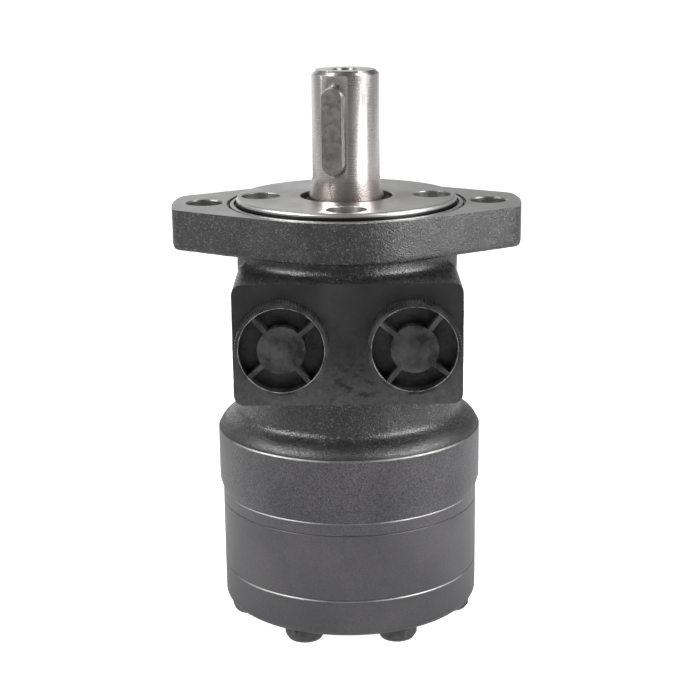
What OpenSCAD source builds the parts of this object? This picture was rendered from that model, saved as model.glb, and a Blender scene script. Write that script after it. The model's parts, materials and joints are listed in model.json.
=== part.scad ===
// Spool-valve orbital hydraulic motor with a two-bolt flange and a keyed shaft.
// The origin is on the shaft axis, in the mounting face of the flange.
// +Z points out along the shaft, and the two ports face -Y.

/* [Mounting flange] */
// Length of the flange over its two round ends
flange_length = 131; // [129:0.5:133]
// Thickness of the flange
flange_thick = 15; // [13:0.5:16]
// Width of the flange across its middle
flange_width = 95; // [94:0.5:98]
// Distance between the two mounting holes
hole_spacing = 106.4; // [105:0.1:107]
// Diameter of the mounting holes
hole_d = 13.5; // [11:0.5:14]
// Diameter of the pilot that centres the motor
pilot_d = 82.5; // [82:0.05:82.6]
// Height of the pilot over the mounting face
pilot_h = 2.4; // [2:0.1:3.5]

/* [Output shaft] */
// Diameter of the keyed shaft end
shaft_d = 25; // [24:0.1:25.4]
// Distance from the mounting face to the end of the shaft
shaft_out = 49; // [47:0.5:54]
// Diameter of the shaft under the seals
seal_d = 28.56; // [28:0.02:29]
// Width of the key
key_w = 8; // [6:0.5:8]
// Length of the key over its round ends
key_l = 32; // [28:1:32]
// Height of the key
key_h = 7; // [6:0.5:7]
// Direction of the key about the shaft axis at rest
key_turn = -109.5; // [-180:0.5:180]

/* [Port block] */
// Width of the port block
block_w = 82; // [80:1:84]
// Distance from the shaft axis to the port face
port_face = 48; // [48:0.5:50]
// Level of the top of the port block
block_top = -21; // [-23:0.5:-20]
// Level of the bottom of the port block
block_low = -65.3; // [-66:0.1:-64]
// Distance between the two ports
port_spacing = 46.6; // [46:0.2:48]
// Level of the port axes
port_z = -43; // [-43.5:0.1:-42.5]
// Core diameter of the port thread
port_d = 19; // [18.6:0.1:19.2]

/* [Body and gear set] */
// Radius of the machined rear end of the housing
barrel_r = 50.4; // [50:0.1:51]
// Radius of the plates behind the housing
plate_r = 49.25; // [49:0.05:49.5]
// Level of the rear face of the housing
housing_end = -110; // [-111:0.5:-109.5]
// Thickness of the spacer plate
spacer_t = 4.9; // [4:0.1:6]
// Thickness of the stator ring, which sets the displacement
stator_t = 25.5; // [24:0.5:28]
// Thickness of the end cover
cover_t = 14.4; // [13:0.1:16]
// Number of rollers in the stator ring
roller_n = 7; // [7]
// Radius of each roller
roller_r = 8.5; // [8.4:0.05:8.6]
// Radius of the circle through the roller centres
roller_ring = 33; // [32.9:0.05:33.1]
// Distance between the rotor centre and the shaft axis
orbit_e = 3.2; // [3.1:0.05:3.3]
// Radius of the circle through the end cover bolts
bolt_ring = 40; // [39.8:0.1:40.2]
// Radius of the bore that the spool runs in
spool_bore = 22.05; // [22.02:0.01:22.08]

/* [Transit plugs] */
// Diameter of the ribbed rim
plug_d = 33; // [31:0.5:34]
// Height of the rim over the port face
plug_h = 8; // [7:0.5:9]
// Number of ribs round the rim
plug_ribs = 90; // [60:1:100]
// Angle of the spokes of the left plug
plug_turn_a = 40; // [0:1:90]
// Angle of the spokes of the right plug
plug_turn_b = 52; // [0:1:90]

/* [Hidden] */
$fn = 96;
eps = 0.01;
run = 0.05;                                  // radial running clearance

// Flange outline: a middle circle, two concentric ends and rounded corners
end_corner_r = 5.5;
end_corner_at = 12;                          // angle of each corner centre
corner_ring = flange_length / 2 - end_corner_r;
side_normal = end_corner_at + acos((flange_width / 2 - end_corner_r) / corner_ring);
neck_r = 41.5;
waist_r = 37;

// Front cover and its seals
recess_r = 44.1;
cover_r = 43.6;
cover_low = -14;
mouth_w = 0.7;                               // widening of the recess at its mouth
mouth_h = 1.2;
foot_w = 0.9;                                // relief groove round the foot of the pilot
foot_h = 0.9;
pilot_edge = 0.6;
screw_ring = 32;
screw_head_r = 6.5;
screw_head_low = -9;
screw_head_h = 8;
screw_low = -27;
dust_r = 17.3;
seal_r = 23.8;
seal_top = -5.5;
seal_low = -12.5;

// Thrust bearing, from the cover down to the shoulder of the shaft
bearing_r = 26.3;
race_top = cover_low;
needle_top = -16;
needle_low = -18.5;
shoulder_z = -20.5;
needle_n = 24;

// Spool: two ring grooves and twelve slots, six from each groove
spool_r = spool_bore - run;
spool_low = -100;
groove_a = -37;
groove_b = -55;
groove_w = 6;
groove_r = 26.5;
window_z = -46;
channel_ring = 30;
channel_r = 2.5;
window_r = 2.2;
port_floor = 31;                             // distance of the bottom of a port from the shaft axis
spline_top = -65.5;                          // level where the splined bore of the spool begins
spline_end = -84;
rear_bore_r = 14.5;

// Cardan shaft: it leans from the spool axis to the rotor centre
spline_n = 12;
spline_root = 10.2;
spline_tip = 12.4;
spline_gap = 0.5;
spline_half = 7;
cardan_r = 8.8;
cardan_end_r = 7.5;
joint_front = -75;
spacer_low = housing_end - spacer_t;
stator_low = spacer_low - stator_t;
cover_end = stator_low - cover_t;
side_gap = 0.05;                             // end clearance of rotor and rollers
joint_rear = (spacer_low + stator_low) / 2;
lean = atan(orbit_e / (joint_front - joint_rear));

// Bolts and check valves
bolt_r = 4;
bolt_hole_r = bolt_r + 0.25;
socket_half = 3;                             // half the width of a hexagon socket
washer_t = 0.6;
head_h = 4.6;
oring_ring = 46.3;
oring_r = 1.08;
oring_groove = 2.2;
oring_half = 1.3;                            // half the width of the groove
check_ring = 38;
check_angles = [167.14, 12.86];
ball_r = 3;
ball_z = -98.35;
drain_z = -33;
drain_face = 43;
drain_r = 5.9;
bleed_r = 1.2;

function at(r, angle, z) = [r * cos(angle), r * sin(angle), z];
function arc(x, y, r, from, to, steps) =
    [for (k = [0 : steps]) let (a = from + (to - from) * k / steps)
        [x + r * cos(a), y + r * sin(a)]];
function bolt_angle(k) = -90 + (k - 0.5) * 360 / roller_n;
function roller_angle(k) = -90 + k * 360 / roller_n;

// Envelope of the rollers seen from the rotor, moved inward by the roller radius
function rotor_path(t) = [roller_ring * cos(t) - orbit_e * cos(roller_n * t),
    roller_ring * sin(t) - orbit_e * sin(roller_n * t)];
function rotor_normal(t) = let (
    n = [roller_ring * cos(t) - roller_n * orbit_e * cos(roller_n * t),
        roller_ring * sin(t) - roller_n * orbit_e * sin(roller_n * t)]) n / norm(n);
function rotor_outline(steps) = [for (k = [0 : steps - 1]) let (t = 360 * k / steps)
    rotor_path(t) - (roller_r + 0.1) * rotor_normal(t)];

// Straight-sided spline teeth, grown by gap on every side
function spline_outline(gap) = [for (k = [0 : spline_n - 1], c = [0 : 3]) let (
    low = c == 0 || c == 3, r = (low ? spline_root : spline_tip) + gap,
    half = (low ? 8.5 : 4.5) + gap / r * 180 / PI, s = c < 2 ? -1 : 1)
    [r * cos(360 * k / spline_n + s * half), r * sin(360 * k / spline_n + s * half)]];

module disc(r, low, high) {
    translate([0, 0, low]) cylinder(r = r, h = high - low);
}

module ring(outer, inner, low, high) {
    difference() {
        disc(outer, low, high);
        disc(inner, low - eps, high + eps);
    }
}

module rod(p, q, r) {
    d = q - p;
    translate(p) rotate([0, acos(d.z / norm(d)), atan2(d.y, d.x)]) rotate(90)
        cylinder(r = r, h = norm(d));
}

// Places a child on each of n points of a circle
module around(n, r, start) {
    for (k = [0 : n - 1])
        rotate(start + k * 360 / n) translate([r, 0, 0]) children();
}

module torus(r, tube, z) {
    translate([0, 0, z]) rotate_extrude() translate([r, 0]) circle(tube, $fn = 32);
}

// Half of the outline is an end arc, a corner, the middle arc and another corner
function flange_points(inset) = [for (h = [0, 180], p = concat(
    arc(0, 0, flange_length / 2 - inset, h - end_corner_at + 3, h + end_corner_at - 3, 3),
    arc(corner_ring * cos(h + end_corner_at), corner_ring * sin(h + end_corner_at),
        end_corner_r - inset, h + end_corner_at, h + side_normal, 5),
    arc(0, 0, flange_width / 2 - inset, h + side_normal, h + 180 - side_normal, 12),
    arc(corner_ring * cos(h + 180 - end_corner_at), corner_ring * sin(h + 180 - end_corner_at),
        end_corner_r - inset, h + 180 - side_normal, h + 180 - end_corner_at, 5))) p];

// Full outline, with the lower edge rounded off in thin layers
module flange_plate() {
    edge = 3;
    layers = 3;
    translate([0, 0, edge - flange_thick]) linear_extrude(flange_thick - edge)
        polygon(flange_points(0));
    for (k = [1 : layers]) {
        low = edge * sin(90 * k / layers);
        translate([0, 0, edge - flange_thick - low]) linear_extrude(low)
            polygon(flange_points(edge * (1 - cos(90 * (k - 0.5) / layers))));
    }
}

// Neck, waist, collar and sloping shoulder, down to the machined rear end
module body_of_revolution() {
    collar_r = 43;
    shoulder_r = 7;
    shoulder_z0 = -87.5;
    cx = barrel_r - shoulder_r;
    slope_end = arc(cx, shoulder_z0, shoulder_r, 45, 45, 1)[0];
    rotate_extrude(convexity = 4)
        polygon(concat(
            [[0, -1], [neck_r, -1]],
            arc(neck_r - 3, -25, 3, 0, -60, 6),
            [[waist_r, -33], [waist_r, -57], [collar_r, -64.5]],
            [[collar_r, slope_end.y + slope_end.x - collar_r]],
            arc(cx, shoulder_z0, shoulder_r, 45, 0, 8),
            [[barrel_r, housing_end + 4], [barrel_r - 1.1, housing_end], [0, housing_end]]));
}

// Outline of the port face, seen along its ports
function block_points(inset) = let (r = 3, x = block_w / 2 - r)
    concat(arc(x, block_top - r, r - inset, 0, 90, 6), arc(-x, block_top - r, r - inset, 90, 180, 6),
        arc(-x, block_low + r, r - inset, 180, 270, 6), arc(x, block_low + r, r - inset, 270, 360, 6));

module port_block() {
    bevel = 0.6;
    rotate([90, 0, 0]) {
        linear_extrude(port_face - bevel) polygon(block_points(0));
        linear_extrude(port_face) polygon(block_points(bevel));
    }
}

module drain_boss() {
    translate([0, 20, drain_z]) rotate([-90, 0, 0]) linear_extrude(drain_face - 20)
        polygon(arc(0, 0, 11, 5, 355, 35));
}

module port_cavities() {
    for (side = [-1, 1]) {
        x = side * port_spacing / 2;
        groove = side < 0 ? groove_a : groove_b;
        translate([x, -port_face - eps, port_z]) rotate([-90, 0, 0]) {
            cylinder(r = port_d / 2, h = port_face - port_floor);
            cylinder(r1 = port_d / 2 + 1.1, r2 = port_d / 2, h = 1.1);
        }
        rod([x, -port_floor - 0.5, port_z], [side * 21, -14, groove], 3.5);
    }
}

module spool_cavities() {
    disc(spool_bore, housing_end - eps, shoulder_z);
    for (z = [groove_a, groove_b])
        disc(groove_r, z - groove_w / 2, z + groove_w / 2);
    around(roller_n, channel_ring, bolt_angle(0))
        translate([0, 0, housing_end - eps])
            cylinder(r = channel_r, h = window_z - housing_end + channel_r, $fn = 32);
    around(roller_n, 0, bolt_angle(0))
        translate([20, 0, window_z]) rotate([0, 90, 0])
            cylinder(r = window_r, h = channel_ring - 20, $fn = 32);
}

module check_cavities() {
    for (k = [0, 1]) {
        a = check_angles[k];
        translate(at(check_ring, a, housing_end - eps)) {
            cylinder(r = 3.6, h = 9 + eps, $fn = 48);
            cylinder(r = ball_r + run, h = 16, $fn = 48);
            cylinder(r = 1.5, h = 20, $fn = 32);
        }
        rod(at(check_ring, a, housing_end + 18.5),
            at(groove_r - 2, a, k == 0 ? groove_a : groove_b), bleed_r, $fn = 32);
    }
}

module drain_cavities() {
    translate([0, 33, drain_z]) rotate([-90, 0, 0]) cylinder(r = drain_r, h = 20, $fn = 64);
    rod([0, 34.5, drain_z + 2], [0, 25.3, -20], 1.5, $fn = 32);
}

module housing() {
    color([0.2, 0.2, 0.21]) difference() {
        union() {
            flange_plate();
            body_of_revolution();
            port_block();
            drain_boss();
        }
        for (x = [-hole_spacing / 2, hole_spacing / 2])
            translate([x, 0, -flange_thick - 1]) cylinder(d = hole_d, h = flange_thick + 2);
        disc(recess_r, cover_low, 1);
        disc(recess_r + mouth_w, -mouth_h, 2);
        disc(bearing_r, shoulder_z - 0.5, 0);
        around(4, screw_ring, 0) disc(bolt_r, screw_low - 2, 0);
        spool_cavities();
        port_cavities();
        check_cavities();
        drain_cavities();
        around(roller_n, bolt_ring, bolt_angle(0)) disc(bolt_r, housing_end - 1, -92);
        ring(oring_ring + oring_half, oring_ring - oring_half, housing_end - 1, housing_end + oring_groove);
    }
}

module front_cover() {
    color([0.78, 0.78, 0.78]) difference() {
        rotate_extrude() polygon([
            [0, cover_low], [cover_r, cover_low], [cover_r, 0], [pilot_d / 2 + foot_w, 0],
            [pilot_d / 2 + foot_w, -foot_h], [pilot_d / 2, -foot_h],
            [pilot_d / 2, pilot_h - pilot_edge], [pilot_d / 2 - pilot_edge, pilot_h], [0, pilot_h]]);
        disc(dust_r, -3.5, pilot_h + 1);
        disc(seal_d / 2 + 0.7, seal_top - 1, 0);
        disc(seal_r, cover_low - 1, seal_top);
        around(4, screw_ring, 0) {
            disc(screw_head_r + 0.75, screw_head_low, pilot_h + 1);
            disc(bolt_r + 0.4, cover_low - 1, 0);
        }
        ring(cover_r + 1, cover_r - 2.2, -11, -8);
    }
}

module cover_screws() {
    color([0.3, 0.3, 0.31]) around(4, screw_ring, 0) difference() {
        union() {
            disc(screw_head_r, screw_head_low, screw_head_low + screw_head_h);
            disc(bolt_r - 0.02, screw_low, screw_head_low + 1);
        }
        translate([0, 0, screw_head_low + screw_head_h - 4])
            cylinder(r = socket_half / cos(30), h = 5, $fn = 6);
    }
}

module cover_oring() {
    color([0.08, 0.08, 0.08]) torus(cover_r - 0.8, 1.2, -9.5);
}

module dust_seal() {
    color([0.06, 0.06, 0.06]) rotate_extrude() polygon([
        [seal_d / 2 + 0.1, -0.6], [seal_d / 2 + 0.9, -3.45], [dust_r - 0.05, -3.45],
        [dust_r - 0.05, 0.9], [dust_r - 0.5, 1.3], [dust_r - 1.3, 1.3],
        [dust_r - 1.6, 0.6], [seal_d / 2 + 0.1, 1.6]]);
}

module shaft_seal() {
    lip = seal_d / 2 + 0.06;
    color([0.35, 0.16, 0.1]) rotate_extrude() polygon([
        [lip, -9.2], [lip + 1.8, -7.5], [lip + 1.8, seal_top - 0.05], [seal_r - 0.05, seal_top - 0.05],
        [seal_r - 0.05, seal_low], [seal_r - 2, seal_low], [seal_r - 2, seal_top - 2.2],
        [lip + 4.2, seal_top - 2.2], [lip + 4.2, -11], [lip + 1.5, -11.5]]);
}

module backup_washer() {
    color([0.6, 0.6, 0.6]) ring(seal_r - 0.05, seal_d / 2 + 0.2, cover_low, seal_low);
}

module thrust_race_outer() {
    color([0.7, 0.7, 0.7]) ring(bearing_r - 0.1, seal_d / 2 + 0.4, needle_top, race_top);
}

module thrust_race_inner() {
    color([0.7, 0.7, 0.7]) ring(bearing_r - 0.5, seal_d / 2 + 0.06, shoulder_z, needle_low);
}

module needle_at_x(r, from, to) {
    translate([from, 0, (needle_top + needle_low) / 2]) rotate([0, 90, 0])
        cylinder(r = r, h = to - from, $fn = 24);
}

module needle_cage() {
    color([0.7, 0.6, 0.35]) difference() {
        ring(bearing_r - 0.5, seal_d / 2 + 1.2, needle_low + 0.4, needle_top - 0.4);
        around(needle_n, 0, 0) needle_at_x((needle_top - needle_low) / 2 + 0.03, 17.5, 24);
    }
}

module needles() {
    color([0.8, 0.8, 0.8]) around(needle_n, 0, 0)
        needle_at_x((needle_top - needle_low) / 2 - 0.01, 17.6, 23.9);
}

module keyway(gap) {
    low = shaft_out - 5.4 - key_l;
    r = key_w / 2 + gap;
    rotate(key_turn) translate([shaft_d / 2 - 4 - gap, 0, 0]) {
        for (z = [low + key_w / 2, low + key_l - key_w / 2])
            translate([0, 0, z]) rotate([0, 90, 0]) cylinder(r = r, h = key_h + gap);
        translate([0, -r, low + key_w / 2]) cube([key_h + gap, 2 * r, key_l - key_w]);
    }
}

module spool_slots() {
    reach = 7;
    for (k = [0 : 5], low = [0, 1])
        rotate(key_turn + 30 * (2 * k + low))
            translate([spool_r - 2.2, -1.8, low == 1 ? window_z - 2.5 : window_z + 2.5 - 2 * reach])
                translate([0, 0, low == 1 ? 0 : 2 * reach - 5 - groove_w])
                    cube([4, 3.6, reach + 2.5]);
}

module output_shaft() {
    shaft_r = shaft_d / 2;
    bevel = 1.5;
    color([0.72, 0.71, 0.7]) difference() {
        rotate_extrude() polygon([
            [0, spool_low], [spool_r - 0.8, spool_low], [spool_r, spool_low + 0.8],
            [spool_r, shoulder_z - 0.8], [spool_r - 0.8, shoulder_z],
            [seal_d / 2, shoulder_z], [seal_d / 2, 1], [shaft_r, 9.9],
            [shaft_r, shaft_out - bevel], [shaft_r - bevel, shaft_out], [0, shaft_out]]);
        keyway(0.03);
        disc(3.4, shaft_out - 22, shaft_out + 1);
        translate([0, 0, shaft_out - 1.6]) cylinder(r1 = 3.4, r2 = 5.1, h = 1.7);
        for (z = [groove_a, groove_b])
            ring(spool_r + 1, spool_r - 2.5, z - groove_w / 2, z + groove_w / 2);
        spool_slots();
        disc(11, -66, -64);
        translate([0, 0, spline_end]) linear_extrude(spline_top - spline_end)
            polygon(spline_outline(spline_gap));
        disc(rear_bore_r, spool_low - 1, spline_end);
    }
}

module shaft_key() {
    color([0.5, 0.5, 0.5]) keyway(0);
}

// Barrel-shaped teeth, centred on the given level of the leaning axis
module crowned_spline(z) {
    intersection() {
        translate([0, 0, z - spline_half]) linear_extrude(2 * spline_half)
            polygon(spline_outline(0));
        translate([0, 0, z]) rotate_extrude()
            polygon(concat([[0, -spline_half - 1]],
                arc(spline_tip - 60, 0, 60, -7.6, 7.6, 12), [[0, spline_half + 1]]));
    }
}

module cardan_shaft() {
    reach = (joint_front - joint_rear) / cos(lean);
    color([0.55, 0.55, 0.56]) translate([0, 0, joint_front]) rotate([-lean, 0, 0]) {
        crowned_spline(0);
        crowned_spline(-reach);
        disc(cardan_r, -reach, 0);
        disc(cardan_end_r, 0, spline_half + 1);
        disc(cardan_end_r, -reach - spline_half - 0.6, -reach);
    }
}

module cardan_spacer() {
    color([0.6, 0.6, 0.6]) translate([0, -orbit_e, 0])
        disc(10, stator_low + side_gap, stator_low + 4.2);
}

module rotor() {
    color([0.66, 0.66, 0.67]) translate([0, -orbit_e, stator_low + side_gap]) rotate(-90)
        difference() {
            linear_extrude(stator_t - 2 * side_gap) polygon(rotor_outline(288));
            translate([0, 0, -1]) linear_extrude(stator_t + 2)
                polygon(spline_outline(spline_gap));
        }
}

module roller(k) {
    color([0.75, 0.75, 0.76]) translate(at(roller_ring, roller_angle(k), 0))
        disc(roller_r, stator_low + side_gap, spacer_low - side_gap);
}

module stator_ring() {
    color([0.38, 0.37, 0.38]) difference() {
        disc(plate_r, stator_low, spacer_low);
        disc(roller_ring - 1.7, stator_low - 1, spacer_low + 1);
        around(roller_n, roller_ring, roller_angle(0))
            disc(roller_r + run, stator_low - 1, spacer_low + 1);
        around(roller_n, bolt_ring, bolt_angle(0))
            disc(bolt_hole_r, stator_low - 1, spacer_low + 1);
    }
}

module spacer_plate() {
    color([0.36, 0.35, 0.36]) difference() {
        disc(plate_r, spacer_low, housing_end);
        disc(17, spacer_low - 1, housing_end + 1);
        around(roller_n, channel_ring, bolt_angle(0))
            disc(channel_r, spacer_low - 1, housing_end + 1);
        around(roller_n, bolt_ring, bolt_angle(0))
            disc(bolt_hole_r, spacer_low - 1, housing_end + 1);
        ring(oring_ring + oring_half, oring_ring - oring_half, spacer_low - 1, spacer_low + oring_groove);
    }
}

module end_cover() {
    edge = 2.5;
    color([0.38, 0.37, 0.38]) difference() {
        rotate_extrude() polygon(concat(
            [[0, stator_low], [plate_r, stator_low]],
            arc(plate_r - edge, cover_end + edge, edge, 0, -90, 6), [[0, cover_end]]));
        around(roller_n, bolt_ring, bolt_angle(0))
            disc(bolt_hole_r, cover_end - 1, stator_low + 1);
        ring(oring_ring + oring_half, oring_ring - oring_half, stator_low - oring_groove, stator_low + 1);
    }
}

module end_cover_bolts() {
    top = cover_end - washer_t;
    color([0.2, 0.2, 0.21])
        for (k = [0 : roller_n - 1])
            translate(at(bolt_ring, bolt_angle(k), 0)) {
                disc(bolt_r - 0.02, top - 1, -95);
                rotate(3 - 11 * k) intersection() {
                    translate([0, 0, top - head_h])
                        cylinder(r = 6.5 / cos(30), h = head_h, $fn = 6);
                    translate([0, 0, top - head_h]) cylinder(r1 = 6.2, r2 = 9.2, h = head_h);
                }
            }
}

module bolt_washers() {
    color([0.3, 0.3, 0.31]) around(roller_n, bolt_ring, bolt_angle(0))
        ring(7.1, bolt_r + 0.2, cover_end - washer_t, cover_end);
}

module body_oring_front() {
    color([0.08, 0.08, 0.08]) torus(oring_ring, oring_r, housing_end + oring_groove / 2);
}

module body_oring_mid() {
    color([0.08, 0.08, 0.08]) torus(oring_ring, oring_r, spacer_low + oring_groove / 2);
}

module body_oring_rear() {
    color([0.08, 0.08, 0.08]) torus(oring_ring, oring_r, stator_low - oring_groove / 2);
}

module check_ball(k) {
    color([0.8, 0.8, 0.8]) translate(at(check_ring, check_angles[k], ball_z))
        sphere(r = ball_r, $fn = 48);
}

module check_plug(k) {
    color([0.6, 0.6, 0.6]) translate(at(check_ring, check_angles[k], 0))
        ring(3.58, 1.5, housing_end, housing_end + 9);
}

module drain_plug() {
    color([0.45, 0.45, 0.46]) translate([0, 0, drain_z]) rotate([-90, 0, 0]) difference() {
        union() {
            disc(drain_r - 0.02, drain_face - 9, drain_face + 2);
            disc(9, drain_face + 1.5, drain_face + 5);
            translate([0, 0, drain_face + 5]) cylinder(r1 = 9, r2 = 8.3, h = 0.7);
        }
        translate([0, 0, drain_face - 1]) cylinder(r = socket_half / cos(30), h = 8, $fn = 6);
    }
}

module drain_washer() {
    color([0.72, 0.45, 0.3]) translate([0, 0, drain_z]) rotate([-90, 0, 0])
        ring(9.2, drain_r + run, drain_face, drain_face + 1.5);
}

// Plastic plug with a ribbed rim, four spokes and a hollow stem
module port_plug(x, turn) {
    rim_r = plug_d / 2;
    hub_r = 8.5;
    floor_h = 1.5;
    wall = 1.1;
    color([0.07, 0.07, 0.07]) translate([x, -port_face, port_z]) rotate([90, 0, 0]) {
        linear_extrude(plug_h) difference() {
            polygon([for (k = [0 : 2 * plug_ribs - 1])
                (rim_r - 0.35 * (k % 2)) * [cos(180 * k / plug_ribs), sin(180 * k / plug_ribs)]]);
            circle(rim_r - wall - 0.35);
        }
        disc(rim_r - wall, 0, floor_h);
        disc(hub_r, 0, plug_h - 0.3);
        around(4, 0, turn)
            translate([hub_r - 1, -0.85, 1]) cube([rim_r - wall - hub_r + 1, 1.7, plug_h - 1.3]);
        ring(port_d / 2 - 0.08, port_d / 2 - 1.6, -11, 1);
    }
}

module port_plug_a() {
    port_plug(-port_spacing / 2, plug_turn_a);
}

module port_plug_b() {
    port_plug(port_spacing / 2, plug_turn_b);
}

housing();
front_cover();
cover_screws();
cover_oring();
dust_seal();
shaft_seal();
backup_washer();
thrust_race_outer();
needle_cage();
needles();
thrust_race_inner();
output_shaft();
shaft_key();
cardan_shaft();
cardan_spacer();
rotor();
roller(0);  // roller_1
roller(1);  // roller_2
roller(2);  // roller_3
roller(3);  // roller_4
roller(4);  // roller_5
roller(5);  // roller_6
roller(6);  // roller_7
stator_ring();
spacer_plate();
end_cover();
end_cover_bolts();
bolt_washers();
body_oring_front();
body_oring_mid();
body_oring_rear();
check_ball(0);  // check_ball_a
check_ball(1);  // check_ball_b
check_plug(0);  // check_plug_a
check_plug(1);  // check_plug_b
drain_plug();
drain_washer();
port_plug_a();
port_plug_b();
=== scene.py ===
import json
import math

import bmesh
import bpy
from mathutils import Matrix, Vector

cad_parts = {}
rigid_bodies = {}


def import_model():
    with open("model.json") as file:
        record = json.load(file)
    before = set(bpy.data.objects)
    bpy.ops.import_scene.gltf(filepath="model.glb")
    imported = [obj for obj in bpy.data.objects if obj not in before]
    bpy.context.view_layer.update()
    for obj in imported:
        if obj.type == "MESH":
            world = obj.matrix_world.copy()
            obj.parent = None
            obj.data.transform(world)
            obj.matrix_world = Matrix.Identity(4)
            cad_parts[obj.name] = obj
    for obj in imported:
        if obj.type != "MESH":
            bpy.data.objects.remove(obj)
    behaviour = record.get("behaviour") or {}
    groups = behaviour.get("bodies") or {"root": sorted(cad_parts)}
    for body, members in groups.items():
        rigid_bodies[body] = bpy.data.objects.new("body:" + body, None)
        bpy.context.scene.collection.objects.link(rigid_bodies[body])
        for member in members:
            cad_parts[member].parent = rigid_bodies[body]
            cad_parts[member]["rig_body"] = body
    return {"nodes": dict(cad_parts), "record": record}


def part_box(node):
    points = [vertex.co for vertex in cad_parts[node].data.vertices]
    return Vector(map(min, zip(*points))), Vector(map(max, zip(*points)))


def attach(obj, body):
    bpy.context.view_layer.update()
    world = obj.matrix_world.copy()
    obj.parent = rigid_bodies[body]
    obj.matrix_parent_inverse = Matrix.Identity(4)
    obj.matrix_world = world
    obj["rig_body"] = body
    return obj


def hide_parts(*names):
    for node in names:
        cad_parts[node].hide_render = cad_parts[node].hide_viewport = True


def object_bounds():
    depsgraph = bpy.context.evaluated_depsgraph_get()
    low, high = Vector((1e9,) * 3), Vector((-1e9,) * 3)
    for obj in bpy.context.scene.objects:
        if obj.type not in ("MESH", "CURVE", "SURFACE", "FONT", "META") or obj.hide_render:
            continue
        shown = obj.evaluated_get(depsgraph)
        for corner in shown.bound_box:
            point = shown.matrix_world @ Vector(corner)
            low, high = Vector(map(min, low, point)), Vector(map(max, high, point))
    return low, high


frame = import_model()
cad_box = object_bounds()
scene = bpy.context.scene
MM = 0.001

# ------------------------------------------------ sizes, in millimetres, z = 0 on the flange face
mounts = {m["name"]: m for m in frame["record"]["mounts"]}
housing_lo, housing_hi = (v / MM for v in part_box("housing"))
FLOOR_Z = cad_box[0][2] / MM
FLANGE_T = 15.0
FLANGE_END_R = housing_hi.x
FLANGE_MID_R = 47.5
HOLE_X = mounts["mounting_holes"]["dims"]["spacing_x_mm"] / 2
HOLE_R = mounts["mounting_holes"]["dims"]["hole_r_mm"]
PORT_X, PORT_Y, PORT_Z = (v / MM for v in mounts["port_b"]["pos_m"])
PORT_FACE = -PORT_Y
_, DRAIN_FACE, DRAIN_Z = (v / MM for v in mounts["drain_port"]["pos_m"])
REAR = housing_lo.z
BARREL_R = -housing_lo.y
BARREL_TOP = -85.8
BLOCK_W, BLOCK_TOP, BLOCK_LOW = 82.0, -21.0, -65.3
CAST_SKIN = 0.16

# Machined cuts: recess of the front cover and its wider mouth, seat of the bearing, spool bore and grooves
RECESS_R, RECESS_Z = 44.1, -14.0
MOUTH_R, MOUTH_Z = 44.8, -1.2
SEAT_R, SEAT_Z = 26.3, -21.0
BORE_R, GROOVE_R = 22.05, 26.5
GROOVES = ((-34, -40), (-52, -58))
# Ports and drain: mouth, chamfered mouth, thread core, thread depth, pitch
PORT_MOUTH_R, PORT_CHAMFER, PORT_CORE_R, PORT_THREAD, PORT_PITCH = 11.6, 1.0, 9.5, 0.75, 0.907
DRAIN_MOUTH_R, DRAIN_CHAMFER, DRAIN_CORE_R, DRAIN_THREAD, DRAIN_PITCH = 7.2, 0.6, 5.9, 0.6, 0.668
# Circles of the end cover bolts, the oil passages and the cover screws; groove of the rear O-ring
BOLT_CIRCLE_R, PASSAGE_CIRCLE_R, SCREW_CIRCLE_R = 40, 30, 32
ORING_IN_R, ORING_OUT_R, ORING_DEPTH = 45, 47.6, 2.2
# Start of a cutter beyond the face it cuts
CUT = 1.0


# ------------------------------------------------ mesh helpers
def arc(x, y, r, a, b, steps):
    return [(x + r * math.cos(math.radians(a + (b - a) * k / steps)),
             y + r * math.sin(math.radians(a + (b - a) * k / steps))) for k in range(steps + 1)]


def lathe(bm, profile, segments=128, place=Matrix.Identity(4), closed=False):
    """Revolves (radius, height) points about Z; place is in millimetres."""
    rings = []
    for r, z in profile:
        if r < 1e-9:
            rings.append([bm.verts.new(place @ Vector((0, 0, z)) * MM)])
            continue
        angles = [math.tau * (k + 0.5) / segments for k in range(segments)]
        rings.append([bm.verts.new(place @ Vector((r * math.cos(a), r * math.sin(a), z)) * MM)
                      for a in angles])
    pairs = list(zip(rings, rings[1:])) + ([(rings[-1], rings[0])] if closed else [])
    for a, b in pairs:
        for k in range(segments):
            n = (k + 1) % segments
            corners = [a[k % len(a)], a[n % len(a)], b[n % len(b)], b[k % len(b)]]
            corners = [v for i, v in enumerate(corners) if v not in corners[:i]]
            if len(corners) > 2:
                bm.faces.new(corners)


def sweep(bm, section, start_angle, end_angle, steps):
    """Turns a closed (radius, height) section part of the way round Z."""
    rows = []
    for k in range(steps + 1):
        a = math.radians(start_angle + (end_angle - start_angle) * k / steps)
        rows.append([bm.verts.new(Vector((r * math.cos(a), r * math.sin(a), z)) * MM) for r, z in section])
    n = len(section)
    for a, b in zip(rows, rows[1:]):
        for k in range(n):
            bm.faces.new([a[k], a[(k + 1) % n], b[(k + 1) % n], b[k]])
    bm.faces.new(rows[0])
    bm.faces.new(rows[-1][::-1])


def prism(bm, outline, low, high, place=Matrix.Identity(4)):
    a = [bm.verts.new(place @ Vector((x, y, low)) * MM) for x, y in outline]
    b = [bm.verts.new(place @ Vector((x, y, high)) * MM) for x, y in outline]
    n = len(outline)
    bm.faces.new(a[::-1])
    bm.faces.new(b)
    for k in range(n):
        bm.faces.new([a[k], a[(k + 1) % n], b[(k + 1) % n], b[k]])


def made(name, bm):
    bmesh.ops.recalc_face_normals(bm, faces=bm.faces)
    mesh = bpy.data.meshes.new(name)
    bm.to_mesh(mesh)
    bm.free()
    obj = bpy.data.objects.new(name, mesh)
    scene.collection.objects.link(obj)
    return obj


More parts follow.
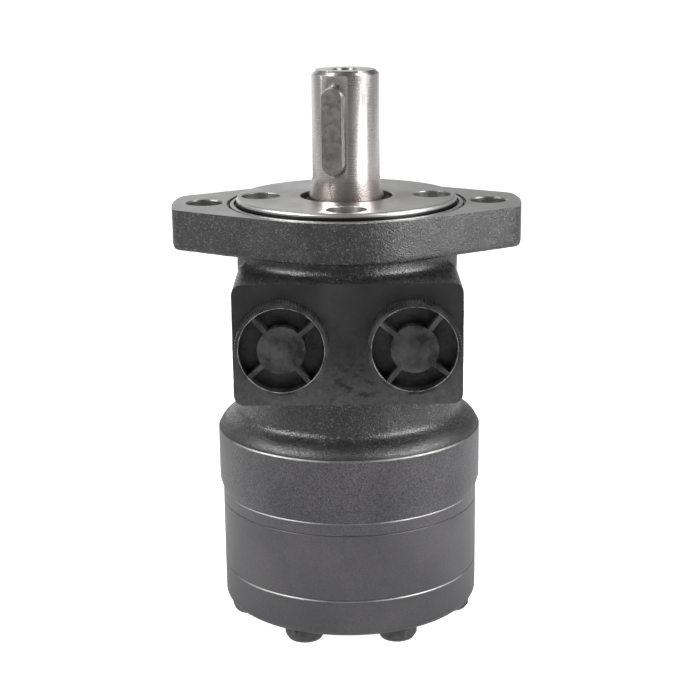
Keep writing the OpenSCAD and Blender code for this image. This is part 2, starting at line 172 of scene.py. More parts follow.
def apply_modifiers(obj):
    graph = bpy.context.evaluated_depsgraph_get()
    mesh = bpy.data.meshes.new_from_object(obj.evaluated_get(graph), depsgraph=graph)
    obj.modifiers.clear()
    old, obj.data = obj.data, mesh
    bpy.data.meshes.remove(old)


def boolean(obj, other, operation):
    mod = obj.modifiers.new("boolean", "BOOLEAN")
    mod.operation, mod.solver, mod.object = operation, "EXACT", other
    apply_modifiers(obj)
    bpy.data.objects.remove(other)


def slice_top(obj):
    """Machines away what lies above z = 0 and closes the cut with one face."""
    bm = bmesh.new()
    bm.from_mesh(obj.data)
    cut = bmesh.ops.bisect_plane(bm, geom=bm.verts[:] + bm.edges[:] + bm.faces[:], dist=1e-7,
                                 plane_co=(0, 0, 0), plane_no=(0, 0, 1), clear_outer=True)
    edges = [e for e in cut["geom_cut"] if isinstance(e, bmesh.types.BMEdge)]
    bmesh.ops.holes_fill(bm, edges=edges, sides=0)
    bm.to_mesh(obj.data)
    bm.free()


def turned(axis):
    """Placement that stands a lathe along -Y or +Y."""
    return Matrix.Rotation(math.radians(90 if axis == "-Y" else -90), 4, "X")


# ------------------------------------------------ shader helpers
def node(tree, kind, props=None, **inputs):
    """A new node. Props are its settings; inputs are sockets by name, or by number as i0, i1 and so on."""
    n = tree.nodes.new(kind)
    for key, value in (props or {}).items():
        setattr(n, key, value)
    for key, value in inputs.items():
        numbered = key[0] == "i" and key[1:].isdigit()
        socket = n.inputs[int(key[1:])] if numbered else n.inputs[key.replace("_", " ")]
        if isinstance(value, bpy.types.NodeSocket):
            tree.links.new(value, socket)
        else:
            socket.default_value = value
    return n


def start(name, **constants):
    """A new material with constants on its shader; place is the object's own frame, in metres."""
    mat = bpy.data.materials.new(name)
    mat.use_nodes = True
    tree = mat.node_tree
    shader = tree.nodes["Principled BSDF"]
    for key, value in constants.items():
        shader.inputs[key.replace("_", " ")].default_value = value
    place = node(tree, "ShaderNodeTexCoord").outputs["Object"]
    return mat, tree, shader, place


def vector_maths(tree, operation, a, b=(0, 0, 0), output=0):
    return node(tree, "ShaderNodeVectorMath", {"operation": operation}, i0=a, i1=b).outputs[output]


def noise(tree, vector, scale, detail=2.0, rough=0.5, stretch=None):
    if stretch:
        vector = vector_maths(tree, "MULTIPLY", vector, stretch)
    texture = node(tree, "ShaderNodeTexNoise", Vector=vector, Scale=scale, Detail=detail, Roughness=rough)
    return texture.outputs[0]


def marks(tree, along, scale, rough):
    """Noise along one measure only, for turning and grinding marks."""
    return node(tree, "ShaderNodeTexNoise", {"noise_dimensions": "1D"}, W=along, Scale=scale, Detail=3,
                Roughness=rough).outputs[0]


def spread(tree, value, low, high, to_low, to_high):
    return node(tree, "ShaderNodeMapRange", {"clamp": True}, Value=value, i1=low, i2=high, i3=to_low,
                i4=to_high).outputs[0]


def maths(tree, operation, a, b=0.0):
    return node(tree, "ShaderNodeMath", {"operation": operation}, i0=a, i1=b).outputs[0]


def product(tree, value, *others):
    for other in others:
        value = maths(tree, "MULTIPLY", value, other)
    return value


def both(tree, a, b, share):
    """A share of a, and the rest of b."""
    return maths(tree, "ADD", maths(tree, "MULTIPLY", a, share), maths(tree, "MULTIPLY", b, 1 - share))


def separate(tree, place):
    return node(tree, "ShaderNodeSeparateXYZ", i0=place).outputs


def axis_radius(tree, place):
    """Distance from the shaft axis."""
    return vector_maths(tree, "LENGTH", vector_maths(tree, "MULTIPLY", place, (1, 1, 0)), output="Value")


def ramp(tree, value, *stops):
    n = node(tree, "ShaderNodeValToRGB", Fac=value)
    elements = n.color_ramp.elements
    while len(elements) < len(stops):
        elements.new(0.5)
    for element, (at, colour) in zip(elements, stops):
        element.position, element.color = at, (*colour, 1)
    return n.outputs[0]


def mix(tree, factor, a, b, blend="MIX"):
    n = tree.nodes.new("ShaderNodeMix")
    n.data_type, n.blend_type = "RGBA", blend
    for socket, value in ((n.inputs[0], factor), (n.inputs[6], a), (n.inputs[7], b)):
        if isinstance(value, bpy.types.NodeSocket):
            tree.links.new(value, socket)
        else:
            socket.default_value = value if isinstance(value, float) else (*value, 1)
    return n.outputs[2]


def surface(tree, shader, colour, roughness, *layers):
    """Links colour and roughness; layers are (height, distance in metres, strength) of the bump."""
    tree.links.new(colour, shader.inputs["Base Color"])
    tree.links.new(roughness, shader.inputs["Roughness"])
    normal = None
    for height, distance, strength in layers:
        extra = {"Normal": normal} if normal else {}
        normal = node(tree, "ShaderNodeBump", Height=height, Distance=distance, Strength=strength,
                      **extra).outputs[0]
    tree.links.new(normal, shader.inputs["Normal"])


def grey(v, warm=0.0):
    return (v * (1 + warm), v, v * (1 - warm))


# ------------------------------------------------ materials
def cast_paint(name, dark, light):
    """Thin dark paint over sand-cast iron: the grain of the sand shows through, and its brightest random
    cells are painted glints. The rim of the rear shoulder is duller, and darker as painted shade."""
    mat, tree, shader, place = start(name, Specular_IOR_Level=1.0, Metallic=0.0)
    blotch = noise(tree, place, 90, 4, 0.6)
    sand = noise(tree, place, 1700, 2.0, 0.65)
    cells = node(tree, "ShaderNodeTexVoronoi", {"feature": "F1"}, Vector=place, Scale=1950)
    chance = node(tree, "ShaderNodeSeparateColor", i0=cells.outputs["Color"]).outputs[0]
    tone = ramp(tree, both(tree, blotch, sand, 0.5), (0.36, grey(dark, 0.01)), (0.62, grey(light, 0.01)))
    # Random cells vary the tone of the grain; the brightest of them are painted glints
    painted_glint = ramp(tree, chance, (0.0, grey(0.4)), (0.5, grey(0.85)), (0.82, grey(1.5)), (1.0, grey(4.2)))
    tone = mix(tree, 1.0, tone, painted_glint, "MULTIPLY")
    rim = product(tree, spread(tree, axis_radius(tree, place), 0.0465, 0.0480, 0.0, 1.0),
                  spread(tree, separate(tree, place)[2], -0.074, -0.070, 1.0, 0.0))
    # Painted shade: the colour of the rear shoulder's rim is darkened towards black
    tone = mix(tree, maths(tree, "MULTIPLY", rim, 0.75), tone, grey(0.004))
    rough = maths(tree, "ADD", spread(tree, chance, 0.0, 1.0, 0.42, 0.24),
                  maths(tree, "MULTIPLY", rim, 0.10))
    surface(tree, shader, tone, rough, (blotch, 0.0006, 0.2), (cells.outputs["Distance"], 0.00014, 0.5),
            (sand, 0.00021, 0.7))
    return mat


def satin_paint(name, dark, light, grain, rim=None):
    """Even satin paint on a turned surface, with fine grain; bare metal shows through at an upper edge,
    whose level is rim, mostly left and right of the middle, as real wear and a painted highlight."""
    mat, tree, shader, place = start(name, Specular_IOR_Level=0.55)
    cloud = noise(tree, place, 38, 3, 0.55)
    peel = noise(tree, place, 900, 2, 0.6)
    speck = noise(tree, place, 1900, 2, 0.7)
    tone = ramp(tree, cloud, (0.34, (dark * 1.01, dark * 0.965, dark * 1.05)),
                (0.66, (light * 1.02, light * 0.97, light * 1.03)))
    depth = 0.32 * grain
    grains = ramp(tree, speck, (0.34, grey(1 - depth)), (0.66, grey(1 + depth)))
    tone = mix(tree, 1.0, tone, grains, "MULTIPLY")
    if rim is not None:
        x, _, z = separate(tree, place)
        level = maths(tree, "ADD", z, maths(tree, "MULTIPLY", noise(tree, place, 420, 3, 0.7), 0.0005))
        beside = maths(tree, "ADD", maths(tree, "ABSOLUTE", x),
                       maths(tree, "MULTIPLY", noise(tree, place, 60, 3, 0.6), 0.012))
        # Bare metal at the upper edge is real wear, but it is kept to bands left and right of the middle,
        # where it paints highlights
        wear_and_highlight = product(tree, spread(tree, level, (rim - 0.36) * MM, (rim - 0.20) * MM, 0.0, 1.0),
                       spread(tree, axis_radius(tree, place), 0.0484, 0.0487, 0.0, 1.0),
                       spread(tree, beside, 0.014, 0.026, 0.12, 1.0),
                       spread(tree, beside, 0.040, 0.050, 1.0, 0.05))
        tone = mix(tree, wear_and_highlight, tone, grey(0.5, 0.01))
        tree.links.new(maths(tree, "MULTIPLY", wear_and_highlight, 0.8), shader.inputs["Metallic"])
    surface(tree, shader, tone, spread(tree, cloud, 0.3, 0.7, 0.34, 0.44), (peel, 0.0002, 0.25 * grain),
            (speck, 0.0001, 0.35 * grain))
    return mat


def port_paint(name):
    """Paint on the milled port face: smoother than the casting, stained under the ports, darker at the top
    as painted shade under the flange and paler below as painted light from the floor.
    """
    mat, tree, shader, place = start(name, Specular_IOR_Level=0.5)
    cloud = noise(tree, place, 60, 4, 0.62)
    fine = noise(tree, place, 700, 2, 0.6)
    away = vector_maths(tree, "DISTANCE", place, (0.002, -0.048, -0.0585), "Value")
    stain = product(tree, spread(tree, away, 0.004, 0.014, 1.0, 0.0),
                    spread(tree, noise(tree, place, 260, 3, 0.6, (1, 1, 2.2)), 0.56, 0.62, 0.0, 1.0))
    tone = ramp(tree, cloud, (0.30, grey(0.009)), (0.55, grey(0.016)), (0.75, grey(0.026)))
    # Painted shade and light: darker near the top under the flange, paler towards the bottom
    tone = mix(tree, spread(tree, separate(tree, place)[2], -0.028, -0.062, 0.0, 1.0), tone,
               ramp(tree, fine, (0.3, grey(0.032)), (0.7, grey(0.060))))
    tone = mix(tree, stain, tone, grey(0.012))
    surface(tree, shader, tone, spread(tree, cloud, 0.3, 0.7, 0.34, 0.5), (cloud, 0.0006, 0.2),
            (fine, 0.0002, 0.35))
    return mat


def turned_metal(name, colour, rough, warm=0.0, around=True, soil=0.25, foot=None):
    """Bare metal with turning or grinding marks: rings about the axis on a face, hoops on a cylinder.
    Foot is the radius of a step whose foot is darkened as painted shade."""
    mat, tree, shader, place = start(name, Metallic=1.0, Anisotropic=0.35)
    radius, height = axis_radius(tree, place), separate(tree, place)[2]
    rings = marks(tree, radius if around else height, 2600, 0.7)
    smear = noise(tree, place, 70, 4, 0.6)
    grit = noise(tree, place, 1500, 2, 0.6)
    tone = mix(tree, spread(tree, smear, 0.35, 0.7, 0.0, soil), grey(colour, warm),
               grey(colour * 0.55, warm * 1.5))
    tone = mix(tree, spread(tree, rings, 0.3, 0.7, 0.0, 0.22), tone, grey(colour * 0.7, warm))
    if foot:
        # Painted shade: a thin dark ring in the corner at the foot of the step
        painted_foot_shade = product(tree, spread(tree, height, 0.0008, 0.0014, 1.0, 0.0),
                       spread(tree, radius, foot - 0.0003, foot - 0.0001, 0.0, 1.0),
                       spread(tree, radius, foot + 0.0009, foot + 0.0011, 1.0, 0.0))
        tone = mix(tree, painted_foot_shade, tone, grey(0.03))
    surface(tree, shader, tone,
            spread(tree, both(tree, rings, smear, 0.5), 0.3, 0.7, rough - 0.05, rough + 0.1),
            (rings, 0.00004, 0.35), (grit, 0.00005, 0.2))
    return mat


def shaft_steel():
    """Ground shaft: fine hoops, a soft stain, and a brown tint near the seal, partly real and partly a
    painted reflection of the seal.
    """
    mat, tree, shader, place = start("shaft_ground_steel", Metallic=1.0, Anisotropic=0.3)
    height = separate(tree, place)[2]
    hoops = marks(tree, height, 3000, 0.75)
    smear = noise(tree, place, 130, 4, 0.6, (1, 1, 0.35))
    grit = noise(tree, place, 2400, 2, 0.6)
    tone = mix(tree, spread(tree, smear, 0.36, 0.66, 0.0, 0.5), (0.71, 0.675, 0.665), (0.52, 0.485, 0.475))
    # Brown and darker near the seal: partly a real tint, partly a painted reflection of the seal
    tone = mix(tree, spread(tree, height, 0.014, 0.003, 0.0, 0.8), tone, (0.29, 0.235, 0.205))
    tone = mix(tree, spread(tree, hoops, 0.35, 0.7, 0.0, 0.25), tone, (0.42, 0.40, 0.39))
    surface(tree, shader, tone, spread(tree, both(tree, hoops, smear, 0.4), 0.3, 0.7, 0.20, 0.34),
            (hoops, 0.00003, 0.3), (grit, 0.00004, 0.15))
    return mat


def dull_metal(name, dark, light, rough, metallic=1.0, warm=0.0, scale=420.0):
    """Drawn, oxidised or plated metal with a mottled finish."""
    mat, tree, shader, place = start(name, Metallic=metallic)
    mottle = noise(tree, place, scale, 4, 0.6)
    grit = noise(tree, place, 2000, 2, 0.6)
    surface(tree, shader, ramp(tree, mottle, (0.34, grey(dark, warm)), (0.66, grey(light, warm))),
            spread(tree, mottle, 0.3, 0.7, rough - 0.06, rough + 0.08),
            (mottle, 0.00008, 0.3), (grit, 0.00005, 0.3))
    return mat


def coloured_metal(name, dark, light, rough):
    mat, tree, shader, place = start(name, Metallic=1.0)
    mottle = noise(tree, place, 300, 4, 0.6)
    surface(tree, shader, ramp(tree, mottle, (0.34, dark), (0.66, light)),
            spread(tree, mottle, 0.3, 0.7, rough - 0.05, rough + 0.08), (mottle, 0.00006, 0.25))
    return mat


def moulded(name, dark, light, rough, scale, level=0.5, swirl=0.12):
    """Moulded plastic or rubber; swirl is the depth of its flow marks."""
    mat, tree, shader, place = start(name, Specular_IOR_Level=level)
    flow = noise(tree, place, scale, 4, 0.6)
    grain = noise(tree, place, 1600, 2, 0.6)
    surface(tree, shader, ramp(tree, flow, (0.36, dark), (0.64, light)),
            spread(tree, flow, 0.3, 0.7, rough - 0.08, rough + 0.08),
            (flow, 0.0005, swirl), (grain, 0.0001, 0.3))
    return mat


CAST = cast_paint("cast_paint", 0.008, 0.026)
BARREL = satin_paint("barrel_paint", 0.038, 0.060, 2.0, BARREL_TOP)
PLATE = satin_paint("plate_paint", 0.044, 0.062, 0.6)
SPACER_PAINT = satin_paint("spacer_paint", 0.048, 0.066, 1.0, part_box("spacer_plate")[1].z / MM)
COVER_PAINT = satin_paint("end_cover_paint", 0.044, 0.060, 0.6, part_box("end_cover")[1].z / MM)
PORT = port_paint("port_face_paint")
PILOT_R = mounts["flange_pilot"]["dims"]["r_mm"]
FACE = turned_metal("flange_face_metal", 0.60, 0.40, 0.01, True, 0.35)
COVER = turned_metal("cover_metal", 0.58, 0.34, 0.012, True, 0.35, foot=PILOT_R * MM)
BORE = turned_metal("bored_metal", 0.42, 0.34, 0.01, False, 0.5)
SHAFT = shaft_steel()
KEY = dull_metal("key_steel", 0.19, 0.26, 0.42, 1.0, 0.03)
SCREW = dull_metal("oxide_screw", 0.10, 0.17, 0.40)
BOLT = dull_metal("oxide_bolt", 0.075, 0.125, 0.40, 0.7)
GEAR = turned_metal("gear_steel", 0.50, 0.30, 0.005, False, 0.3)
RACE = turned_metal("race_steel", 0.62, 0.18, 0.0, True, 0.15)
ZINC = dull_metal("zinc_steel", 0.32, 0.44, 0.36, 1.0, -0.01, 260.0)
BRASS = coloured_metal("cage_brass", (0.45, 0.30, 0.10), (0.62, 0.45, 0.17), 0.32)
COPPER = coloured_metal("copper", (0.48, 0.20, 0.10), (0.66, 0.32, 0.19), 0.34)
RUBBER = moulded("rubber_black", grey(0.008), grey(0.016), 0.55, 500, 0.35)
SEAL = moulded("seal_brown", (0.10, 0.03, 0.015), (0.16, 0.05, 0.025), 0.5, 400, 0.4)
PLASTIC = moulded("plastic_black", (0.006, 0.006, 0.0062), (0.036, 0.036, 0.037), 0.32, 170, 0.6, 0.7)
# Paler plastic for the bevel inside a plug's rim: a painted highlight
PLASTIC_EDGE_HIGHLIGHT = moulded("plastic_edge_highlight", (0.025, 0.025, 0.0255), (0.20, 0.20, 0.205), 0.34, 320, 0.6,
                       0.3)

# Material of each node; the pieces of the drive that are not named here are gear steel
FINISH = {
    "front_cover": COVER, "cover_screws": SCREW, "cover_oring": RUBBER, "dust_seal": RUBBER,
    "shaft_seal": SEAL, "backup_washer": RACE, "thrust_race_outer": RACE, "thrust_race_inner": RACE,
    "needle_cage": BRASS, "needles": RACE, "output_shaft": SHAFT, "shaft_key": KEY, "stator_ring": PLATE,
    "spacer_plate": SPACER_PAINT, "end_cover": COVER_PAINT, "end_cover_bolts": BOLT, "bolt_washers": BOLT,
    "body_oring_front": RUBBER, "body_oring_mid": RUBBER, "body_oring_rear": RUBBER,
    "check_ball_a": RACE, "check_ball_b": RACE, "check_plug_a": ZINC, "check_plug_b": ZINC,
    "drain_plug": ZINC, "drain_washer": COPPER, "port_plug_a": PLASTIC, "port_plug_b": PLASTIC,
}
# Nodes that are seen or are large get broken edges, by bevels of these widths in millimetres
EDGES = {
    "front_cover": 0.25, "cover_screws": 0.3, "output_shaft": 0.2, "shaft_key": 0.35, "stator_ring": 0.5,
    "spacer_plate": 0.32, "end_cover": 0.36, "end_cover_bolts": 0.1, "bolt_washers": 0.1,
    "drain_plug": 0.25, "drain_washer": 0.2, "port_plug_a": 0.28, "port_plug_b": 0.28,
    "cardan_shaft": 0.2, "rotor": 0.2, "dust_seal": 0.1,
}
# Edges that turn by more than this are bevelled
SHARP = math.radians(28)
# Transit plugs: radius that the inner edge of the rim is within, and the fine bevel of the other edges
PLUG_RIM_R, RIB_BEVEL, RIB_ANGLE = 15.4, 0.04, math.radians(50)


def paint_rim_highlight(obj, name, edge):
    """Keeps the wide bevel of a transit plug for the front edge inside its rim, which gets a paler
    material as a painted highlight, and breaks its other edges finely."""
    edge.material, edge.limit_method = 1, "WEIGHT"
    weights = obj.data.attributes.new("bevel_weight_edge", "FLOAT", "EDGE")
    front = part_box(name)[0].y / MM

    def inside_rim(v):
        return abs(v.y - front) < 0.02 and math.hypot(abs(v.x) - PORT_X, v.z - PORT_Z) < PLUG_RIM_R

    for line, weight in zip(obj.data.edges, weights.data):
        weight.value = float(all(inside_rim(obj.data.vertices[k].co / MM) for k in line.vertices))
    ribs = obj.modifiers.new("ribs", "BEVEL")
    ribs.width, ribs.segments, ribs.limit_method = RIB_BEVEL * MM, 1, "ANGLE"
    ribs.angle_limit, ribs.harden_normals = RIB_ANGLE, True


def refined(name, width):
    """The same shape as a CAD node, with its flat faces whole and its edges broken by a small bevel."""
    source = frame["nodes"][name]
    bm = bmesh.new()
    bm.from_mesh(source.data)
    bmesh.ops.remove_doubles(bm, verts=bm.verts, dist=2e-6)
    bmesh.ops.dissolve_limit(bm, angle_limit=math.radians(0.4), verts=bm.verts, edges=bm.edges,
                             delimit=set())
    obj = made(name + "_piece", bm)
    for face in obj.data.polygons:
        face.use_smooth = True
    obj.data.set_sharp_from_angle(angle=SHARP)
    edge = obj.modifiers.new("edge", "BEVEL")
    edge.width, edge.segments, edge.limit_method = width * MM, 2, "ANGLE"
    edge.angle_limit, edge.harden_normals = SHARP, True
    obj.data.materials.append(FINISH.get(name, GEAR))
    if name.startswith("port_plug"):
        paint_rim_highlight(obj, name, edge)
        obj.data.materials.append(PLASTIC_EDGE_HIGHLIGHT)
    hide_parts(name)
    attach(obj, source["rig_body"])


for name, source in frame["nodes"].items():
    if name != "housing":
        source.data.materials.clear()
        source.data.materials.append(FINISH.get(name, GEAR))
    if name in EDGES:
        refined(name, EDGES[name])


# ------------------------------------------------ housing: a casting, then its machined cuts
def flange_outline(inset):
    corner, at = 5.5, 12
    ring = FLANGE_END_R - corner
    side = at + math.degrees(math.acos((FLANGE_MID_R - corner) / ring))

    def rounded(angle, a, b):
        x, y = ring * math.cos(math.radians(angle)), ring * math.sin(math.radians(angle))
        return arc(x, y, corner - inset, a, b, 8)

    points = []
    for h in (0, 180):
        points += arc(0, 0, FLANGE_END_R - inset, h - at + 3, h + at - 3, 6)
        points += rounded(h + at, h + at, h + side)
        points += arc(0, 0, FLANGE_MID_R - inset, h + side, h + 180 - side, 40)
        points += rounded(h + 180 - at, h + 180 - side, h + 180 - at)
    return points


def block_outline(inset):
    r = 3.5
    x, top, low = BLOCK_W / 2 - r, BLOCK_TOP - r, BLOCK_LOW + r
    corners = ((x, top, 0), (-x, top, 90), (-x, low, 180), (x, low, 270))
    return [point for cx, cy, a in corners for point in arc(cx, cy, r - inset, a, a + 90, 6)]


def shoulder_profile(collar):
    """From the collar through a fillet, over a sloping crown and a small edge, to the rear end's side."""
    fillet, crown, edge, side = 3.0, 9.0, 0.9, BARREL_R - 0.5
    steep, flat = 28, 60
    edge_z = BARREL_TOP + 0.45
    crown_r = side - edge - (crown - edge) * math.cos(math.radians(steep))
    crown_z = edge_z - (crown - edge) * math.sin(math.radians(steep))
    cos_flat, sin_flat = math.cos(math.radians(flat)), math.sin(math.radians(flat))
    foot_r = collar + fillet * (1 - cos_flat)
    ledge_r, ledge_z = crown_r + crown * cos_flat, crown_z + crown * sin_flat
    fillet_z = ledge_z + (ledge_r - foot_r) / math.tan(math.radians(flat)) + fillet * sin_flat
    return (arc(collar + fillet, fillet_z, fillet, 180, 180 + flat, 8)
            + arc(crown_r, crown_z, crown, flat, steep, 8)
            + arc(side - edge, edge_z, edge, steep, 0, 4) + [(side, -100), (0, -100)])


def casting():
    neck, waist, collar, neck_fillet, spot_r = 41.5, 37.0, 42.9, 2.7, 10.9
    bm = bmesh.new()
    prism(bm, flange_outline(CAST_SKIN), -FLANGE_T, 3)
    lathe(bm, [(0, -1), (neck, -1)] + arc(neck - 3, -25, 3, 0, -60, 6)
          + [(waist, -33), (waist, -57), (collar, -64.5)] + shoulder_profile(collar))
    hidden = BLOCK_TOP - 2
    sweep(bm, [(neck - 3, BLOCK_TOP + 3)]
          + arc(neck + neck_fillet, BLOCK_TOP + neck_fillet, neck_fillet, 180, 265, 8)
          + [(neck + 2.5, hidden), (neck - 3, hidden)], -90 - 66, -90 + 66, 40)
    prism(bm, block_outline(CAST_SKIN), 0, PORT_FACE + 3, turned("-Y"))
    lathe(bm, [(0, 20), (spot_r, 20), (spot_r, DRAIN_FACE + 3), (0, DRAIN_FACE + 3)], 48,
          Matrix.Translation((0, 0, DRAIN_Z)) @ turned("+Y"))
    obj = made("housing_casting", bm)
    remesh = obj.modifiers.new("remesh", "REMESH")
    remesh.mode, remesh.voxel_size = "VOXEL", 0.6 * MM
    smooth = obj.modifiers.new("smooth", "SMOOTH")
    smooth.factor, smooth.iterations = 0.5, 20
    for label, size, depth in (("waves", 9.0, 0.20), ("sand", 1.7, 0.13)):
        texture = bpy.data.textures.new(label, "CLOUDS")
        texture.noise_scale, texture.noise_depth = size * MM, 2
        skin = obj.modifiers.new(label, "DISPLACE")
        skin.texture, skin.texture_coords = texture, "LOCAL"
        skin.strength, skin.mid_level = depth * MM, 0.5
    apply_modifiers(obj)
    slice_top(obj)
    # The port face and the drain's face are milled flat within boxes that reach past them
    bm = bmesh.new()
    for axis, face, half, low, high in (("-Y", PORT_FACE, 50, -76, -17),
                                        ("+Y", DRAIN_FACE, 14, -DRAIN_Z - 14, -DRAIN_Z + 14)):
        prism(bm, [(-half, low), (half, low), (half, high), (-half, high)], face, face + 8, turned(axis))
    boolean(obj, made("cut_faces", bm), "DIFFERENCE")
    return obj


def threads(core, depth, first, pitch, count):
    return [(core + (depth if k % 2 else 0), first - pitch * k) for k in range(count)]


def machined_cuts():
    low = REAR - CUT
    profile = [(0, CUT), (MOUTH_R, CUT), (MOUTH_R, MOUTH_Z), (RECESS_R, MOUTH_Z), (RECESS_R, RECESS_Z),
               (SEAT_R, RECESS_Z), (SEAT_R, SEAT_Z), (BORE_R, SEAT_Z)]
    for a, b in GROOVES:
        profile += [(BORE_R, a), (GROOVE_R, a), (GROOVE_R, b), (BORE_R, b)]
    bm = bmesh.new()
    lathe(bm, profile + [(BORE_R, low), (0, low)])
    main = made("cut_main", bm)
    bm = bmesh.new()
    for side in (-1, 1):
        lathe(bm, [(0, CUT), (PORT_MOUTH_R, CUT), (PORT_MOUTH_R, 0),
                   (PORT_MOUTH_R - PORT_CHAMFER, -PORT_CHAMFER)]
              + threads(PORT_CORE_R, PORT_THREAD, -1.6, PORT_PITCH, 15)
              + [(9.3, -16.5), (8.2, -17), (0, -17)],
              96, Matrix.Translation((side * PORT_X, -PORT_FACE, PORT_Z)) @ turned("-Y"))
        lathe(bm, [(0, CUT), (HOLE_R + 0.5, CUT), (HOLE_R + 0.5, 0), (HOLE_R, -0.5),
                   (HOLE_R, -FLANGE_T - 2), (0, -FLANGE_T - 2)],
              96, Matrix.Translation((side * HOLE_X, 0, 0)))
    lathe(bm, [(0, CUT), (DRAIN_MOUTH_R, CUT), (DRAIN_MOUTH_R, 0), (6.4, -DRAIN_CHAMFER)]
          + threads(DRAIN_CORE_R, DRAIN_THREAD, -0.9, DRAIN_PITCH, 14) + [(0, -10.4)],
          64, Matrix.Translation((0, DRAIN_FACE, DRAIN_Z)) @ turned("+Y"))
    # Holes for the end cover bolts, and oil passages inside them
    for k in range(7):
        angle = math.radians(-90 + (k - 0.5) * 360 / 7)
        for r, radius, top in ((BOLT_CIRCLE_R, 4.0, -92), (PASSAGE_CIRCLE_R, 2.5, -43.5)):
            lathe(bm, [(0, low), (radius, low), (radius, top), (0, top)], 32,
                  Matrix.Translation((r * math.cos(angle), r * math.sin(angle), 0)))
    # Threaded holes for the cover screws
    for k in range(4):
        angle = k * math.pi / 2
        lathe(bm, [(0, -28), (4, -28), (4, -13), (0, -13)], 32,
              Matrix.Translation((SCREW_CIRCLE_R * math.cos(angle), SCREW_CIRCLE_R * math.sin(angle), 0)))
    # Groove of the rear O-ring
    lathe(bm, [(ORING_IN_R, low), (ORING_OUT_R, low), (ORING_OUT_R, REAR + ORING_DEPTH),
               (ORING_IN_R, REAR + ORING_DEPTH)], 128, closed=True)
    return main, made("cut_details", bm)


def region(centre, normal):
    """Material index of a face of the housing, from where it lies: casting, flange face, bores, port face,
    turned rear end."""
    x, y, z = centre / MM
    r = math.hypot(x, y)
    if normal.z > 0.99 and abs(z) < 0.02:
        return 1
    if r < MOUTH_R + 0.05 and (z > RECESS_Z - 0.1 or r < SEAT_R + 0.3) or abs(z - REAR) < 0.02:
        return 2
    if math.hypot(abs(x) - HOLE_X, y) < HOLE_R + 0.6 and z > -FLANGE_T - 1:
        return 2
    if abs(y + PORT_FACE) < 0.02 and normal.y < -0.99:
        return 3
    if math.hypot(abs(x) - PORT_X, z - PORT_Z) < PORT_MOUTH_R + 0.1 and y < -28:
        return 2
    if math.hypot(x, z - DRAIN_Z) < DRAIN_MOUTH_R + 0.1 and y > 30:
        return 2
    if r > BARREL_R - 1.5 and z < BARREL_TOP + 0.05 and normal.z < 0.9:
        return 4
    return 0


def build_housing():
    obj = casting()
    bm = bmesh.new()
    lathe(bm, [(0, BARREL_TOP), (BARREL_R - 0.4, BARREL_TOP), (BARREL_R, BARREL_TOP - 0.4),
               (BARREL_R, REAR + 4), (BARREL_R - 1.1, REAR), (0, REAR)], 192)
    boolean(obj, made("barrel", bm), "UNION")
    for cutter in machined_cuts():
        boolean(obj, cutter, "DIFFERENCE")
    mesh = obj.data
    for material in (CAST, FACE, BORE, PORT, BARREL):
        mesh.materials.append(material)
    for face in mesh.polygons:
        face.material_index = region(face.center, face.normal)
        face.use_smooth = True
    mesh.set_sharp_from_angle(angle=math.radians(38))
    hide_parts("housing")
    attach(obj, "motor_body")


build_housing()

# ------------------------------------------------ floor, light and camera, in metres
BODY_CENTRE, SHAFT_CENTRE = (0, 0, -0.05), (0, 0, 0.02)
WHITE = (1, 1, 1, 1)


def area(name, place, aim, size_x, size_y, power):
    light = bpy.data.lights.new(name, "AREA")
    light.shape, light.size, light.size_y, light.energy = "RECTANGLE", size_x, size_y, power
    obj = bpy.data.objects.new(name, light)
    scene.collection.objects.link(obj)
    obj.location = place
    obj.rotation_euler = (Vector(aim) - Vector(place)).to_track_quat("-Z", "Y").to_euler()
    obj.visible_camera = False


def side_glow(tree, x, y, inner, outer, extra):
    """More glow in two patches beside the object, between two distances from the middle."""
    out = maths(tree, "ABSOLUTE", x)
    return product(tree, spread(tree, out, inner * 0.5, inner, 0.0, extra),
                   spread(tree, out, outer, outer * 1.4, 1.0, 0.0),
                   spread(tree, maths(tree, "ABSOLUTE", y), 0.16, 0.30, 1.0, 0.0))


def sheet_at(name, z, size, albedo, reach, *glow, sides=None):
    """A level sheet with a soft glow. Glow is (place, strength) stops along Y, from -reach to reach; sides
    is (inner, outer, strength) of the glow beside the object, on a sheet that dims at its far left."""
    bm = bmesh.new()
    bmesh.ops.create_grid(bm, x_segments=24, y_segments=24, size=size)
    obj = made(name, bm)
    obj.location.z = z * MM
    mat, tree, shader, place = start(name + "_white", Roughness=0.8, Specular_IOR_Level=0.1)
    tree.links.new(ramp(tree, noise(tree, place, 3, 2), (0.3, grey(albedo)), (0.7, grey(albedo * 1.06))),
                   shader.inputs["Base Color"])
    x, y, _ = separate(tree, place)
    strength = ramp(tree, spread(tree, y, -reach, reach, 0.0, 1.0), *((at, grey(v)) for at, v in glow))
    if sides:
        strength = maths(tree, "ADD", strength, side_glow(tree, x, y, *sides))
        strength = maths(tree, "MULTIPLY", strength, spread(tree, x, -0.55, -0.32, 0.45, 1.0))
    shader.inputs["Emission Color"].default_value = WHITE
    tree.links.new(strength, shader.inputs["Emission Strength"])
    obj.data.materials.append(mat)
    return obj


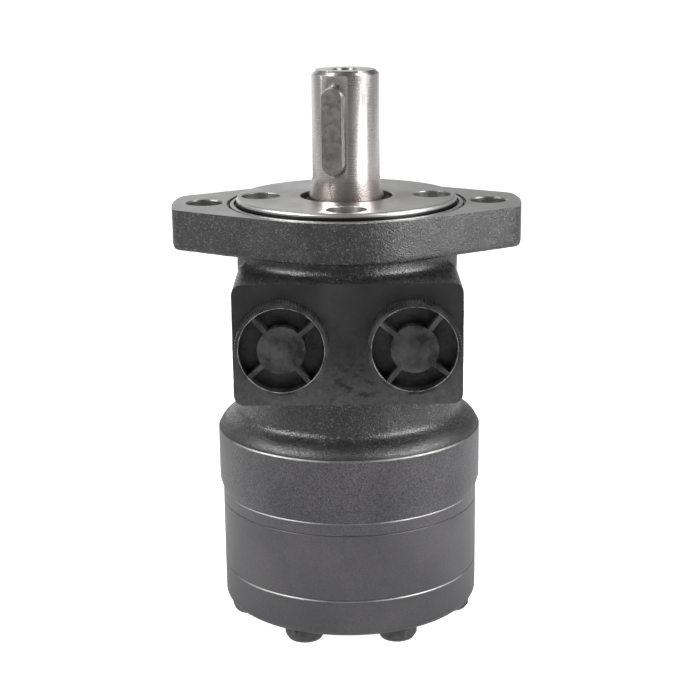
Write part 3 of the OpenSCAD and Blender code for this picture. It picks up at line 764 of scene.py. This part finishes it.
def world():
    """Room light: dim in front and overhead, bright behind near the horizon, more so at the left."""
    scene.world = bpy.data.worlds.new("studio")
    scene.world.use_nodes = True
    tree = scene.world.node_tree
    x, y, z = separate(tree, node(tree, "ShaderNodeTexCoord").outputs["Generated"])
    front_to_back = spread(tree, y, -0.6, 0.6, 0.10, 0.66)
    horizon_to_top = spread(tree, z, 0.24, 0.52, 1.0, 0.14)
    left_to_right = spread(tree, x, -0.20, 0.20, 2.0, 0.52)
    far_left = spread(tree, x, -0.80, -0.42, 0.30, 1.0)
    background = tree.nodes["Background"]
    background.inputs["Color"].default_value = WHITE
    tree.links.new(product(tree, front_to_back, horizon_to_top, left_to_right, far_left),
                   background.inputs["Strength"])


def direction(azimuth, elevation, distance, centre):
    """A place seen from the object at an azimuth (0 = towards the camera, + = right) and an elevation."""
    a, e = math.radians(azimuth), math.radians(elevation)
    ray = (math.sin(a) * math.cos(e), -math.cos(a) * math.cos(e), math.sin(e))
    return tuple(c + distance * d for c, d in zip(centre, ray))


sheet_at("floor", FLOOR_Z, 9.0, 0.60, 1.0, (0.05, 0.62), (0.47, 0.97))
card = sheet_at("grey_card", FLOOR_Z + 0.6, 1.6, 0.05, 0.8, (0.11, 0.16), (0.46, 0.42), (0.56, 0.64),
                (0.70, 0.62), (0.85, 0.42), sides=(0.11, 0.34, 0.30))
# The card above the floor is seen in reflections only
card.visible_camera = card.visible_diffuse = card.visible_shadow = card.visible_transmission = False
world()
area("top_left", (-0.62, 0.02, 0.85), BODY_CENTRE, 0.24, 0.50, 2.2)
area("top_right", (0.62, 0.05, 0.85), BODY_CENTRE, 0.24, 0.50, 2.2)
area("box_left", direction(-62, 31, 0.9, BODY_CENTRE), BODY_CENTRE, 0.50, 0.30, 7.2)
area("box_right", direction(62, 31, 0.9, BODY_CENTRE), BODY_CENTRE, 0.50, 0.30, 7.2)
area("strip_right", direction(55, -3, 0.45, SHAFT_CENTRE), SHAFT_CENTRE, 0.22, 0.10, 0.55)

CAMERA_PLACE, CAMERA_DOWN, CAMERA_ROLL = (0.0007, -0.5956, 0.1005), 14.88, -0.62
camera = bpy.data.objects.new("camera", bpy.data.cameras.new("camera"))
scene.collection.objects.link(camera)
camera.data.lens, camera.data.sensor_width, camera.data.clip_start = 82.5, 36.0, 0.01
camera.matrix_world = (Matrix.Translation(CAMERA_PLACE)
                       @ Matrix.Rotation(math.radians(90 - CAMERA_DOWN), 4, "X")
                       @ Matrix.Rotation(math.radians(CAMERA_ROLL), 4, "Z"))
scene.camera = camera
scene.view_settings.view_transform = "Standard"
scene.view_settings.look = "None"
